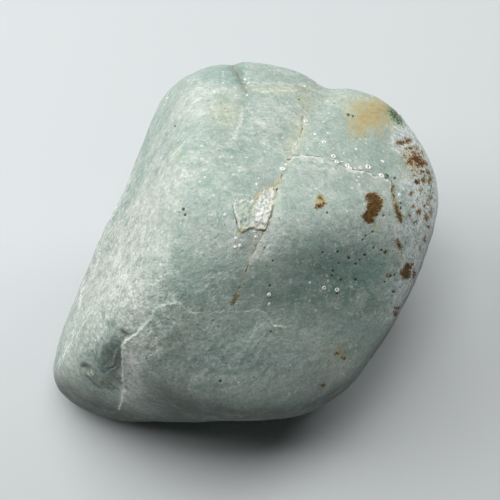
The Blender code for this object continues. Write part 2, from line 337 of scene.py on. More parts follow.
mesh = bmesh.new()
mesh.from_mesh(skin.data)
refine(mesh, broken_ground)
refine(mesh, sharp_edges)
refine(mesh, near_pinholes)
normals = normals_of(mesh)
points = coordinates(mesh)
seen = seen_from_sight(points)
facing = smooth((normals @ SHOW_OUT + 0.1) / 0.2)
jagged = seen.copy()
for stray, length, *seeds in JAGS:
    jagged += stray * np.column_stack([lumps(points, length, seed) for seed in seeds])

height = np.zeros(len(points))
scaled = smooth(along_path(jagged, LOWER_LEDGE)[0] / 0.8)
for *oval, rise in POCKET_BREAKS:
    height += rise * scaled * smooth(1.6 - off_middle(jagged, *oval))
crack_away, crack_open = np.full(len(points), 14.0), np.zeros(len(points))
for path in CRACKS:
    away, (opened,), _ = along_path(jagged, path)
    opened = opened * smooth(0.62 + 0.9 * lumps(points, 5, 8))
    height -= opened * sum(deep * np.exp(-((away / wide) ** 2)) for deep, wide in (CRACK_SLIT, CRACK_DIP))
    nearer = np.abs(away) < np.abs(crack_away)
    crack_away, crack_open = np.where(nearer, away, crack_away), np.where(nearer, opened, crack_open)
into_scab = into_outline(jagged, SCAB)
stands = 0.2 + 0.8 * smooth((27 - jagged[:, 1]) / 12)  # the scab's lower part stands proud
height += smooth(into_scab / SCAB_EDGE) * (SCAB_HEIGHT * stands + uneven_by(CRUMBS))
into_notch = into_outline(jagged, NOTCH)
height -= NOTCH_DEPTH * smooth(into_notch / 1.3 + 0.15)
pinhole = np.zeros(len(points))
for across, up, radius in PINHOLES:
    radius *= PINHOLE_MOUTH
    within = smooth(1.35 - np.hypot(seen[:, 0] - across, seen[:, 1] - up) / radius)
    height -= 0.5 * radius * within
    pinhole = np.maximum(pinhole, within)
in_cleft = np.exp(-((along_path(jagged, CLEFT)[0] / CLEFT_WIDTH) ** 2))
height -= CLEFT_DEPTH * in_cleft
height *= facing
coarse_behind = (1 - facing) * smooth(0.45 + 0.7 * lumps(points, 42, 27))
coarse = 0.2 + 0.8 * np.maximum(clouded(COARSE), coarse_behind)
pocks = smooth(1.7 * lumps(points, 2.4, 9) - 0.75)
height += uneven_by(WEAR) + coarse * uneven_by(SUGAR) - (0.1 + 0.3 * coarse) * pocks
round_rim = smooth((normals @ SHOW_OUT + RIM_PAST) / RIM_GROWTH)
for *oval, rise in FULLER:
    height += rise * round_rim * np.exp(-(off_middle(seen, *oval) ** 2))
height *= smooth(points[:, 2] / 3)  # the underside stays flat
points += normals * height[:, None]
facing_step = smooth(normals @ SHOW_OUT / STEP_END)
points += sight_lines(points) * (facing_step * steps(jagged, SHARP_RUN))[:, None]
move_to(mesh, points)
rim = [e for e in mesh.edges if e.is_boundary]
bmesh.ops.contextual_create(mesh, geom=rim)
bmesh.ops.recalc_face_normals(mesh, faces=mesh.faces[:])
mesh.to_mesh(skin.data)
mesh.free()
skin.data.shade_smooth()

# ---- The stone's clouds and stains, and its painted shade
# Jade is a felt of fine crystals, clouded where they are coarser or hold iron. Iron has rusted in spots,
# moss has dyed one corner, and one side keeps a white weathered rind. Painted shade darkens its hollows and
# what turns down to the ground.

# Clouds: across, up, half-length across, half-length up, lean, strength.
WHITE_CLOUDS = (
    (-67, 2, 11, 40, -27, 0.9), (-80, -28, 12, 20, -20, 0.8), (-33, 66, 24, 20, 20, 0.15),
    (-48, 32, 14, 22, -20, 0.45), (6, 8, 6, 14, -20, 0.35), (-26, 82, 12, 5, 20, 0.4),
    (20, 0, 5, 16, -20, 0.4), (77, 7, 8, 12, 0, 0.9), (30, 44, 14, 5, 0, 0.2),
    (-92, -58, 3, 12, 10, 0.7), (53, 10, 4, 6, 20, 0.6), (63.4, 2, 5, 4, 0, 0.6),
    (55.6, -5, 4, 2.5, 0, 0.5), (72, 16, 4, 8, 0, 0.5), (14, -58, 44, 22, 0, 0.75),
    (-44, -52, 24, 20, 0, 0.5), (-62, -26, 9, 17, -6, 1.0), (-61, 4, 8, 18, -14, 0.4),
    (-90, -66, 12, 10, 0, 0.6), (6, 6, 11, 13, -15, 0.95), (8, -54, 16, 12, 0, 0.8),
    (-10, -64, 10, 8, 0, 0.4), (-60, -60, 9, 18, 0, 0.9), (45, 30, 26, 14, 0, 0.2),
    (2, 62, 22, 22, 0, 0.1),
)
# Blue-grey clouds; the last one, down the cleft between the lobes, is painted shade.
BLUE_CLOUDS_AND_CLEFT_SHADE = (
    (-22, -20, 18, 11, 10, 0.5), (-20, -58, 28, 12, 10, 0.4), (44, -12, 36, 13, 8, 0.9),
    (-56, 44, 6, 20, -20, 0.5), (-16, 91, 16, 6, -15, 0.5), (62, 46, 24, 8, -12, 0.4),
    (38, 10, 26, 14, 0, 0.25), (58, -42, 20, 12, 20, 0.45), (-4, 55, 14, 20, 0, 0.25),
    (-80, -62, 9, 13, 0, 0.6), (30, -58, 30, 14, 0, 0.15), (-5.5, 93, 4, 8, -25, 0.8),
)
DEEP_CLOUDS = (
    (46, -16, 16, 7, 4, 0.55), (34, -6, 12, 8, 10, 0.4), (20, 22, 8, 10, 0, 0.15),
    (38, 36, 20, 8, 0, 0.2), (-10, -22, 12, 6, 0, 0.2), (30, -68, 20, 8, 0, 0.3),
    (-75, -52, 5, 7, 0, 0.3), (22, -26, 22, 7, -4, 0.5), (52, -25, 14, 8, 0, 0.55),
    (66, -26, 8, 9, 0, 0.4), (28, -38, 10, 5, 0, 0.3),
)
YELLOW_CLOUDS = (
    (-13, 71, 11, 12, 20, 0.7), (12, 84, 22, 4, -3, 0.8), (10, -48, 20, 12, 0, 0.3),
    (-36, -42, 10, 9, 0, 0.4), (26, 66, 7, 12, -20, 0.6), (22, 52, 5, 14, -25, 0.6),
    (60, 72, 22, 10, -10, 0.45), (-38, 50, 9, 6, 35, 0.5), (-89, -68, 6, 7, 0, 0.4),
    (36, -48, 14, 8, 0, 0.2), (-52, 58, 8, 14, -30, 0.2), (66, 20, 5, 10, -20, 0.3),
    (58, 76, 26, 6, -14, 0.5), (28.6, 78, 4, 4, 0, 0.7), (82, 38, 6, 6, 0, 0.5), (75, -2, 4, 5, 0, 0.4),
    (66, 11, 3, 5, 0, 0.5), (-3, -26, 6, 5, 20, 0.5), (42, -60, 16, 10, 0, 0.4),
)
# Where the pale crystals are cooler in tone.
COOL_CLOUDS = (
    (10, -50, 75, 30, 0, 1.0), (44, -6, 40, 22, 10, 0.7), (88, 0, 12, 40, 0, 0.6),
    (20, 20, 16, 20, 0, 0.3),
)
GREEN_CLOUDS = (
    (-21, 35, 10, 8, -20, 0.7), (-35, 49.5, 4, 2.5, 35, 0.8), (54, 56, 26, 6, -4, 0.35),
    (-34, 20, 4, 4, 0, 0.5), (44, 2, 14, 5, 0, 0.3),
)
OCHRE_STAINS = (
    (62, 70, 13, 9, -10, 0.8), (67, 71, 5, 5, 0, 0.6), (74, 71.5, 4.5, 3, -40, 0.8),
    (56, 63, 7, 6, 20, 0.5), (-38.2, 48.6, 1.6, 1.2, 30, 0.5), (47.5, -53, 4.2, 4.2, 0, 0.6),
    (28.6, 84.6, 3, 1.5, 0, 0.5), (36.8, 25.2, 3.0, 3.4, 0, 0.9), (68.4, 24.5, 2.2, 3.5, 0, 0.5),
    (64.6, 12, 1.8, 2.6, 0, 0.5), (78, -4, 3, 2, 0, 0.5), (3.4, 27.4, 1.1, 2.4, -20, 1.0),
    (-5.0, 10.2, 3.0, 1.0, 12, 1.0), (-7.6, -24.5, 1.0, 3.6, -32, 0.45), (2.4, 7.2, 2.2, 3, -30, 0.4),
    (76, 22, 1.6, 6, 20, 0.7), (10.4, 33.0, 5.0, 1.8, 18, 0.45), (15.4, 38.0, 1.6, 4.0, -22, 0.4),
    (13.4, 22, 1.3, 9, -16, 0.3), (0.4, 20.5, 1.2, 3.4, -10, 0.45), (-0.8, -6.5, 0.9, 4.5, -18, 0.5),
    (-3.4, -14.5, 0.9, 3, -20, 0.4), (84, 46, 8, 8, 20, 0.55), (70, 58, 6, 8, 0, 0.15),
    (75, 74.5, 4, 2, -40, 0.6),
)
MOSS = (
    (73.8, 70.0, 4.4, 2.8, -42, 1.0), (77.4, 66.4, 3.0, 2.0, -50, 1.0),
    (52.3, 70.0, 2.4, 1.0, -10, 0.6), (80.4, 43.5, 1.4, 1.0, 0, 0.6), (91, 38, 2.5, 5, 0, 0.6),
    (93, 30, 2, 7, 0, 0.5), (71.2, 38.2, 1.3, 1.5, 0, 1.0),
)
RIND = (
    (91, 28, 10, 32, 12, 1.0), (87, -8, 9, 20, -22, 1.0), (83, 57, 8, 14, 42, 1.0),
    (79, -28, 6, 16, -28, 0.8), (78, 8, 6, 8, 0, 0.5),
)
SPECKLED = (
    (85, 46, 8, 8, 20, 1.0), (91, 26, 6, 16, 10, 0.8), (87, -4, 7, 14, -20, 0.8),
    (84, 60, 6, 8, 30, 0.5), (48.5, -53, 4.5, 4.5, 0, 0.6), (50, -8, 16, 9, 0, 0.22),
    (77, -31, 3, 6, -30, 0.8),
)
# Rust spots: across, up, half-lengths and lean.
RUST = (
    (64.0, 27.2, 3.6, 2.6, -8), (65.6, 25.0, 3.4, 2.8, -30), (64.4, 22.0, 3.6, 3.4, 10),
    (63.2, 19.0, 3.6, 2.8, 20), (61.2, 17.4, 3.0, 2.6, 0), (62.6, 15.6, 2.0, 1.6, 0),
    (36.9, 27.4, 1.0, 0.8, 0), (36.0, 22.8, 1.9, 1.0, 10), (38.4, 24.4, 0.7, 0.8, 0),
    (81.2, -12.4, 2.6, 3.0, -12), (82.4, -9.0, 1.8, 2.6, 10), (84.2, -8.0, 0.6, 1.0, 0),
    (77.0, 4.0, 0.8, 1.6, 32), (78.0, 1.6, 0.9, 1.4, 30), (75.8, 22.2, 0.9, 2.0, 16),
    (77.2, 18.4, 1.3, 2.8, 22), (74.0, 31.4, 0.6, 1.5, 8), (74.3, 28.0, 0.6, 1.5, 0),
    (78.2, 15.6, 1.0, 1.0, 0), (78, 55.2, 1.6, 1.5, 0), (81.8, 56.2, 1.5, 1.0, 0),
    (80.6, 57.8, 0.6, 0.6, 0), (82.8, 52.4, 0.9, 0.8, 0), (84.6, 49.4, 1.5, 1.2, 20),
    (85.4, 46.6, 2.6, 1.8, -20), (88.2, 44.4, 2.2, 1.8, 0), (82.2, 45.4, 1.5, 1.0, 30),
    (87.6, 47.8, 1.0, 1.0, 0), (86.0, 43.0, 1.3, 0.8, 0), (88.6, 40.0, 1.1, 0.9, 0),
    (86.2, 34.8, 1.4, 1.3, 0), (89.4, 35.4, 1.0, 1.2, 0), (88.4, 30.8, 0.6, 0.7, 0),
    (91.4, 16.9, 1.0, 1.5, 0), (87.6, 19.8, 0.9, 1.1, 0), (90.2, 22.6, 0.5, 0.7, 0),
    (76.1, -31.0, 0.8, 1.0, 0), (75.7, -33.2, 0.8, 0.9, 0), (38.0, -70.7, 0.8, 0.7, 0),
    (45.5, -53.8, 0.6, 0.6, 0), (49.2, -56.4, 0.6, 0.4, 0), (-7.6, -25.2, 0.8, 2.4, -36),
    (90.4, 44.0, 0.7, 0.9, 0), (91.6, 40.0, 0.6, 0.9, 0), (92.6, 37.0, 0.5, 1.3, 0),
    (88.6, 50.4, 0.6, 0.7, 0), (85.6, 52.4, 0.6, 0.7, 0), (93.6, 28.0, 0.5, 0.8, 0),
    (92.2, 24.2, 0.5, 0.6, 0), (94.0, 20.0, 0.5, 0.9, 0), (92.8, 12.0, 0.6, 0.7, 0),
    (91.0, 6.0, 0.5, 0.9, 0), (89.0, 0.4, 0.5, 0.7, 0), (84.0, 40.6, 0.6, 0.5, 0),
    (84.6, 38.0, 0.5, 0.6, 0), (83.2, 29.0, 0.5, 0.7, 0), (86.6, 26.0, 0.6, 0.5, 0),
    (84.8, 22.4, 0.8, 0.6, 0), (83.0, 18.0, 0.5, 0.6, 0), (86.0, 14.6, 0.7, 0.6, 0),
    (80.4, 51.8, 0.8, 0.6, 0), (79.2, 48.6, 0.6, 0.6, 0), (72.0, -13.6, 0.6, 0.8, 0),
    (92.6, 35.2, 0.9, 0.6, 0), (70.4, -1.0, 0.8, 0.7, 0), (85.6, -12.4, 0.6, 1.8, 0),
)
# Wisps, where coarser white crystals lie in a line: points with the half-width, then the strength.
WISPS = (
    (((-30.4, 75.5, 0.8), (-22, 82, 1.1), (-11, 84.5, 1.0), (-4, 82.5, 0.6)), 0.5),
    (((-4, 88, 0.6), (10, 86.2, 0.8), (22, 86, 0.8), (29, 85, 0.7), (36, 81.5, 0.5)), 0.45),
    (((-2, 84.5, 0.6), (8, 82.6, 0.7), (24, 83, 0.8), (28, 84.3, 0.5)), 0.45),
    (((-67, 18, 1.0), (-60, 23, 1.0), (-50, 28, 0.8)), 0.4),
    (((-80, 2, 1.0), (-72, 17, 1.3), (-64, 34, 1.2), (-59, 44, 0.8)), 0.4),
    (((-84, -22, 0.6), (-80.4, -8, 0.8), (-77, 3, 0.6)), 0.5),
    (((-99.4, -62, 0.7), (-98.6, -58, 1.1), (-95.2, -52, 1.0), (-92.1, -45, 0.6)), 0.7),
    (((-92.6, -46, 0.7), (-90.6, -38, 1.2), (-89.1, -30.5, 0.9)), 0.65),
    (((-89.2, -32, 0.4), (-88.2, -26, 1.0), (-87.4, -20.8, 0.7), (-86.4, -15, 0.5)), 0.8),
    (((-65.0, -70, 0.8), (-66.2, -75, 1.7), (-68.0, -81, 1.2), (-69.2, -84, 0.5)), 0.6),
    (((-4, 76, 1.2), (-4.5, 69, 1.6), (-7, 60, 1.4), (-12, 52, 1.0)), 0.45),
    (((-17, -16, 0.8), (-13, -26, 0.9), (-9, -33, 0.8)), 0.3),
    (((27, 60, 1.5), (24, 53, 1.8), (19, 44, 1.4)), 0.45),
    (((24, 47, 1.0), (31, 47.4, 1.4), (40, 46.2, 1.4), (45, 43.6, 1.0)), 0.5),
    (((10, 12, 1.2), (6, 3, 2.4), (2, -4, 2.6), (-1, -10, 1.6)), 0.55),
    (((-72, 2, 2.5), (-66, -14, 4.5), (-62, -28, 4.5), (-59, -38, 2.5)), 0.45),
    (((-63, -50, 2.5), (-61, -60, 5.0), (-60, -70, 5.0), (-62, -79, 2.5)), 0.75),
    (((1, -50, 2.5), (9, -52, 5), (17, -56, 3.5)), 0.3),
    (((13, 10, 1.5), (10, 2, 3.0), (7, -4, 2.5)), 0.4),
    (((-8, -30, 1.2), (-2, -26, 1.2), (2, -24, 0.8)), 0.3),
    (((16, -52, 1.2), (22, -58, 1.0), (36, -56, 1.6), (44, -55, 1.4)), 0.4),
)
# Tints, with how common each is out of sight, the size of its patches there and their seed.
TINTS = (
    ("white", WHITE_CLOUDS, 0.5, 45, 22),
    ("blue", BLUE_CLOUDS_AND_CLEFT_SHADE, 0.2, 40, 23),
    ("yellow", YELLOW_CLOUDS, 0.1, 36, 24),
    ("green", GREEN_CLOUDS, 0.0, 30, 25),
)
# The seam between the scab's solid flake, on the left, and its crumbly part.
SCAB_SEAM = ((4.2, 29.1), (3.2, 26.5), (2.6, 23.9), (0.8, 16.6), (-0.6, 11.0), (-2.0, 7.0))


def keep(name, values):
    """Keeps a value for each point of the skin, under a name that the material reads."""
    layer = skin.data.attributes.new(name, "FLOAT", "POINT")
    layer.data.foreach_set("value", values.astype(np.float32))


rust = np.full(len(seen), -9.0)
for *oval, lean in RUST:
    within = (1 - off_middle(seen, *oval, lean)) * min(oval[2:])
    rust = np.maximum(rust, within)
wisp = np.zeros(len(seen))
for path, strength in WISPS:
    away, (half_width,), share = along_path(jagged, path, reach=6.0)
    ends = smooth(share / 0.15) * smooth((1 - share) / 0.15)
    line = np.exp(-((away / np.maximum(half_width, 0.5)) ** 2)) * ends
    wisp = np.maximum(wisp, strength * line)
onto, lip_fresh = np.full(len(seen), -9.0), np.zeros(len(seen))
for path in (LOWER_LEDGE, UPPER_LEDGE):
    away, (_, fresh), _ = along_path(jagged, path, reach=9.0)
    nearer = np.abs(away) < np.abs(onto)
    onto, lip_fresh = np.where(nearer, -away, onto), np.where(nearer, fresh, lip_fresh)
hidden = 1 - facing
side_rind = smooth((points[:, 0] - 70) / 30 + 0.6 * lumps(points, 24, 21))
for name, ovals, common, size, seed in TINTS:
    keep(name, clouded(ovals) + hidden * smooth(common + 0.6 * lumps(points, size, seed)))
keep("cool", clouded(COOL_CLOUDS))
keep("deep", clouded(DEEP_CLOUDS))
keep("ochre", clouded(OCHRE_STAINS) + 0.8 * hidden * smooth(-0.25 + 0.8 * lumps(points, 34, 26)))
keep("moss", clouded(MOSS))
keep("rind", np.maximum(clouded(RIND), hidden * side_rind))
keep("speckled", np.maximum(clouded(SPECKLED), hidden * (0.15 + 0.6 * side_rind)))
keep("rust", np.where(facing > 0.05, rust, -9.0))
keep("wisp", wisp * facing)
keep("crack", np.where(facing > 0.05, np.abs(crack_away), 14.0))
keep("open", crack_open)
keep("scab", np.where(facing > 0.05, into_scab, -14.0))
keep("lip", onto)
keep("fresh", lip_fresh * facing)
keep("pinhole", pinhole * facing)
keep("crumbly", smooth(0.5 + along_path(jagged, SCAB_SEAM)[0] / 2.4))
keep("coarse", coarse)
# Painted shade in the pocket's hollows, the notch and the cleft, and painted shadow below the scab's proud
# lower edge.
hollow_shade = np.maximum(scaled * clouded(SHADED_HOLLOWS), 0.7 * facing * smooth(into_notch / 1.2 + 0.2))
keep("undercut_shadow", smooth(into_scab / SCAB_EDGE + 1.5) * stands * smooth(0.75 + 0.9 * lumps(points, 4, 14)))
keep("hollow_shade", np.maximum(hollow_shade, 0.75 * facing * in_cleft))
# Painted shade darkens what turns down to the ground, but little of the low corner, which leans up.
upturned_corner = facing * smooth((-35 - seen[:, 0]) / 35) * smooth((points[:, 2] - 30) / 30)
turned_down = smooth((0.25 - normals[:, 2]) / 0.4)
keep("foot_shade", (0.5 + 0.5 * facing) * (1 - 0.85 * upturned_corner) * turned_down)
# Painted shadow in the upper ledge's step, and in no other.
keep("ledge_shadow", 0.7 * facing * smooth((seen[:, 1] - 12) / 4))  # only the upper ledge gapes

stone = bpy.data.materials.new("jade")
stone.use_nodes = True
tree = stone.node_tree
shader = tree.nodes["Principled BSDF"]


def put(kind, *values, out=0, **settings):
    """Adds a node with its inputs in order, each a number, a colour or another node's output."""
    made = tree.nodes.new(kind)
    for name, value in settings.items():
        setattr(made, name, value)
    for socket, value in zip(made.inputs, values):
        if isinstance(value, bpy.types.NodeSocket):
            tree.links.new(value, socket)
        elif value is not None:
            socket.default_value = value
    return made.outputs[out]


def reckon(operation, *values):
    return put("ShaderNodeMath", *values, operation=operation)


def spread(value, low, high):
    """0 where the value is low, 1 where it is high, and smooth between."""
    return put("ShaderNodeMapRange", value, low, high, interpolation_type="SMOOTHSTEP")


def tint(factor, below, above):
    made = tree.nodes.new("ShaderNodeMix")
    made.data_type = "RGBA"
    for socket, value in zip((made.inputs[0], made.inputs[6], made.inputs[7]), (factor, below, above)):
        if isinstance(value, bpy.types.NodeSocket):
            tree.links.new(value, socket)
        else:
            socket.default_value = (*value, 1)
    return made.outputs[2]


def attribute(name):
    return put("ShaderNodeAttribute", attribute_name=name, out=2)


in_mm = put("ShaderNodeVectorMath", put("ShaderNodeTexCoord", out=3), None, None, 1 / MM, operation="SCALE")


def mottle(size, detail=2.0, broken=0.5, swirl=0.0, seed=0.0):
    """Noise from 0 to 1 with patches of that size in mm."""
    moved = put("ShaderNodeVectorMath", in_mm, (seed * 13.1, seed * 7.7, seed * 5.3), operation="ADD")
    made = tree.nodes.new("ShaderNodeTexNoise")
    tree.links.new(moved, made.inputs["Vector"])
    given = {"Scale": 1 / size, "Detail": detail, "Roughness": broken, "Distortion": swirl}
    for name, value in given.items():
        made.inputs[name].default_value = value
    return made.outputs[0]


def crystals(size, what, seed=0.0):
    """Grains of that size in mm: how far from each grain's heart, or a random number for each grain."""
    moved = put("ShaderNodeVectorMath", in_mm, (seed * 11.3, seed * 3.7, seed * 17.3), operation="ADD")
    made = tree.nodes.new("ShaderNodeTexVoronoi")
    tree.links.new(moved, made.inputs["Vector"])
    made.inputs["Scale"].default_value = 1 / size
    if what == "far":
        return made.outputs["Distance"]
    return put("ShaderNodeSeparateColor", made.outputs["Color"])


def shifted(value, by, amount):
    """The value, raised and lowered by a noise from 0 to 1."""
    return reckon("MULTIPLY_ADD", reckon("SUBTRACT", by, 0.5), amount, value)


GREY_GREEN, PALE, WHITE = (0.36, 0.445, 0.405), (0.58, 0.61, 0.56), (0.80, 0.82, 0.795)
COOL_PALE = (0.51, 0.615, 0.575)
BLUE_GREY, DEEP, YELLOWISH = (0.235, 0.355, 0.325), (0.115, 0.19, 0.16), (0.55, 0.555, 0.395)
LEAF_GREEN, OCHRE, ORANGE = (0.25, 0.42, 0.28), (0.485, 0.405, 0.20), (0.41, 0.27, 0.09)
MOSS_GREEN, RUST_GOLD = (0.022, 0.055, 0.015), (0.30, 0.17, 0.030)
RUST_BROWN, RUST_RED, RUST_DARK = (0.135, 0.064, 0.006), (0.150, 0.030, 0.006), (0.036, 0.021, 0.004)
# The second is the dark of silt in cracks and pores, also used for painted shadow below the scab's edge and
# in the upper ledge's step, and for the fill in the lime rings' holes.
FRESH, SILT_AND_SHADE = (0.76, 0.76, 0.67), (0.055, 0.046, 0.028)
RIND_GREY, RIND_WHITE = (0.42, 0.47, 0.435), (0.80, 0.85, 0.865)
CRUMB_GREY, CRUMB_WHITE, CRUMB_TAN = (0.44, 0.47, 0.43), (0.90, 0.89, 0.86), (0.72, 0.68, 0.52)
FLAKE_GREEN, FLAKE_PALE = (0.45, 0.515, 0.455), (0.74, 0.75, 0.66)
# Painted shade: the first on what turns down to the ground, the second in the hollows, the notch and the
# cleft.
FOOT_SHADE, SHADOWED = (0.072, 0.086, 0.069), (0.10, 0.125, 0.105)

# The noises that all the tints share, from the broadest to the finest, and then the stone's own clouds.
coarse = attribute("coarse")
cloud, patch, fleck = mottle(26, 3, 0.6, 0.8), mottle(8, 4, 0.65, 0.9, 1), mottle(2.2, 4, 0.7, 0.4, 2)
sugar, streak = mottle(0.9, 3, 0.7, 0.2, 9), mottle(4, 4, 0.68, 1.4, 19)
whiteness = shifted(shifted(attribute("white"), cloud, 1.6), patch, 1.5)
pale = tint(attribute("cool"), PALE, COOL_PALE)
colour = tint(spread(shifted(whiteness, streak, 1.0), -0.25, 1.0), GREY_GREEN, pale)
bluish = shifted(attribute("blue"), mottle(22, 3, 0.55, 0.5, 3), 1.0)
bluish = shifted(bluish, mottle(6, 3, 0.6, 0.6, 4), 1.2)
colour = tint(spread(bluish, 0.0, 1.1), colour, BLUE_GREY)
deep = shifted(shifted(attribute("deep"), mottle(7, 4, 0.62, 0.6, 34), 0.5), fleck, 0.4)
colour = tint(spread(deep, 0.0, 1.0), colour, DEEP)
patchy = spread(mottle(11, 4, 0.62, 0.8, 31), 0.50, 0.58)
uneven = reckon("MULTIPLY_ADD", coarse, 0.7, 0.6)
colour = tint(reckon("MULTIPLY", patchy, reckon("MULTIPLY", uneven, 0.32)), colour, PALE)
patchy = spread(mottle(9, 4, 0.62, 0.8, 32), 0.46, 0.38)
colour = tint(reckon("MULTIPLY", patchy, reckon("MULTIPLY", uneven, 0.25)), colour, DEEP)
yellowish = shifted(shifted(attribute("yellow"), mottle(14, 3, 0.6, 0.8, 5), 1.0), fleck, 0.7)
colour = tint(reckon("MULTIPLY", spread(yellowish, 0.15, 1.2), 0.8), colour, YELLOWISH)
greenish = shifted(attribute("green"), mottle(5, 3, 0.6, 0.8, 6), 1.2)
colour = tint(reckon("MULTIPLY", spread(greenish, 0.25, 1.1), 0.6), colour, LEAF_GREEN)
vein = reckon("ABSOLUTE", reckon("SUBTRACT", mottle(17, 2.5, 0.55, 1.6, 7), 0.5))
veined = reckon("MULTIPLY", spread(vein, 0.030, 0.0), spread(mottle(12, 2, 0.5, 0, 8), 0.45, 0.75))
veined = reckon("MAXIMUM", reckon("MULTIPLY", veined, 0.5), shifted(attribute("wisp"), streak, 1.2))
colour = tint(spread(veined, 0.05, 1.0), colour, WHITE)

# The felt of crystals: grains of different lightness, with scattered white and dark ones.
felt = shifted(shifted(0.0, crystals(0.95, "which"), 0.20), sugar, 0.75)
felt = shifted(shifted(shifted(felt, fleck, 0.60), streak, 0.45), patch, 0.32)
felt = reckon("MULTIPLY_ADD", felt, reckon("MULTIPLY_ADD", coarse, 0.9, 0.50), 1.0)
smears = shifted(shifted(0.5, mottle(7, 5, 0.68, 1.0, 33), 1.0), streak, 0.5)
smeared = reckon("MULTIPLY", reckon("SUBTRACT", smears, 0.5), reckon("MULTIPLY", coarse, 0.85))
felt = reckon("ADD", felt, smeared)
colour = put("ShaderNodeVectorMath", colour, None, None, felt, operation="SCALE")
white_grains = spread(shifted(mottle(1.5, 3, 0.7, 0.6, 20), patch, 0.35), 0.60, 0.74)
colour = tint(reckon("MULTIPLY", white_grains, 0.8), colour, WHITE)
dark_grains = spread(shifted(mottle(1.9, 3, 0.7, 0.4, 21), coarse, -0.08), 0.38, 0.25)
colour = tint(reckon("MULTIPLY", dark_grains, 0.65), colour, DEEP)
bright = spread(crystals(3.0, "far", 3), 0.36, 0.16)
bright = reckon("MULTIPLY", bright, spread(crystals(3.0, "which", 3), 0.80, 0.88))
colour = tint(reckon("MULTIPLY", bright, 0.6), colour, WHITE)

# What the river and the weather have left on it.
rind = spread(shifted(shifted(attribute("rind"), patch, 1.2), fleck, 1.2), 0.25, 0.75)
rind_tone = tint(spread(mottle(2.6, 4, 0.7, 0.6, 10), 0.34, 0.62), RIND_GREY, RIND_WHITE)
colour = tint(reckon("MULTIPLY", rind, 0.9), colour, rind_tone)
scab, crumbly = attribute("scab"), attribute("crumbly")
crumbs = tint(spread(mottle(1.9, 4, 0.7, 0.6, 16), 0.34, 0.60), CRUMB_GREY, CRUMB_WHITE)
flake = tint(spread(shifted(scab, fleck, 2.4), 2.2, 0.2), FLAKE_GREEN, FLAKE_PALE)
crumbs = tint(spread(shifted(scab, streak, 4.0), 2.2, 0.4), crumbs, CRUMB_TAN)
scabbed = spread(shifted(scab, fleck, 1.2), -0.1, 0.7)
colour = tint(reckon("MULTIPLY", scabbed, 0.85), colour, tint(crumbly, flake, crumbs))
ochre = shifted(attribute("ochre"), mottle(5, 4, 0.7, 1.5, 11), 1.1)
ochre = shifted(shifted(ochre, fleck, 0.7), streak, 0.9)
colour = tint(reckon("MULTIPLY", spread(ochre, 0.10, 0.75), 0.85), colour, OCHRE)
colour = tint(reckon("MULTIPLY", spread(ochre, 0.62, 1.15), 0.8), colour, ORANGE)
moss = shifted(shifted(attribute("moss"), mottle(1.8, 4, 0.75, 0.5, 12), 3.6), sugar, 2.4)
colour = tint(reckon("MULTIPLY", spread(moss, 0.10, 0.60), 0.65), colour, LEAF_GREEN)
colour = tint(reckon("MULTIPLY", spread(moss, 0.55, 0.95), 0.95), colour, MOSS_GREEN)
speckled = reckon("MULTIPLY", attribute("speckled"), spread(mottle(6, 2, 0.6, 0.4, 22), 0.36, 0.60))
specks = shifted(reckon("MULTIPLY", speckled, 0.30), mottle(1.25, 3, 0.62, 0.5, 23), 1.15)
rust_hue = tint(spread(attribute("speckled"), 0.5, 1.0), RUST_BROWN, RUST_RED)
tan = shifted(reckon("MULTIPLY", speckled, 0.32), mottle(2.6, 4, 0.65, 0.5, 24), 1.0)
colour = tint(reckon("MULTIPLY", spread(tan, 0.20, 0.40), 0.6), colour, OCHRE)
colour = tint(reckon("MULTIPLY", spread(specks, 0.28, 0.36), 0.9), colour, rust_hue)
rusted = shifted(shifted(attribute("rust"), mottle(2.0, 3, 0.7, 0.5, 13), 3.4), sugar, 4.6)
holes = reckon("SUBTRACT", mottle(1.3, 3, 0.6, 0.5, 26), 0.52)
rusted = reckon("MULTIPLY_ADD", holes, reckon("MULTIPLY", attribute("speckled"), 6.5), rusted)
colour = tint(reckon("MULTIPLY", spread(rusted, -0.9, 0.1), 0.8), colour, RUST_GOLD)
rust_tone = tint(spread(mottle(1.5, 3, 0.6, 0.3, 15), 0.36, 0.62), RUST_DARK, rust_hue)
rust_core = spread(rusted, -0.35, 0.45)
colour = tint(reckon("MULTIPLY", rust_core, 0.95), colour, rust_tone)
# Painted shade, in patches, on what turns down to the ground.
foot_shade = reckon("MULTIPLY", attribute("foot_shade"), spread(shifted(0.5, patch, 0.8), 0.0, 0.6))
colour = tint(reckon("MULTIPLY", foot_shade, 0.92), colour, FOOT_SHADE)

# Edges, cracks and pores: crushed pale stone beside them, silt in them; and painted shadow below the
# scab's proud edge and in the upper ledge's step, and painted shade in the hollows.
opened, crack = attribute("open"), attribute("crack")
halo = reckon("MULTIPLY", spread(shifted(crack, fleck, 2.4), 2.4, 0.2), reckon("MULTIPLY", opened, 0.7))
colour = tint(halo, colour, YELLOWISH)
lip, fresh = attribute("lip"), shifted(attribute("fresh"), streak, 2.2)
edge = reckon("MULTIPLY", spread(lip, -0.45, -0.1), spread(shifted(lip, fleck, 1.8), 1.2, 0.1))
colour = tint(reckon("MULTIPLY", edge, spread(fresh, 0.15, 1.1)), colour, FRESH)
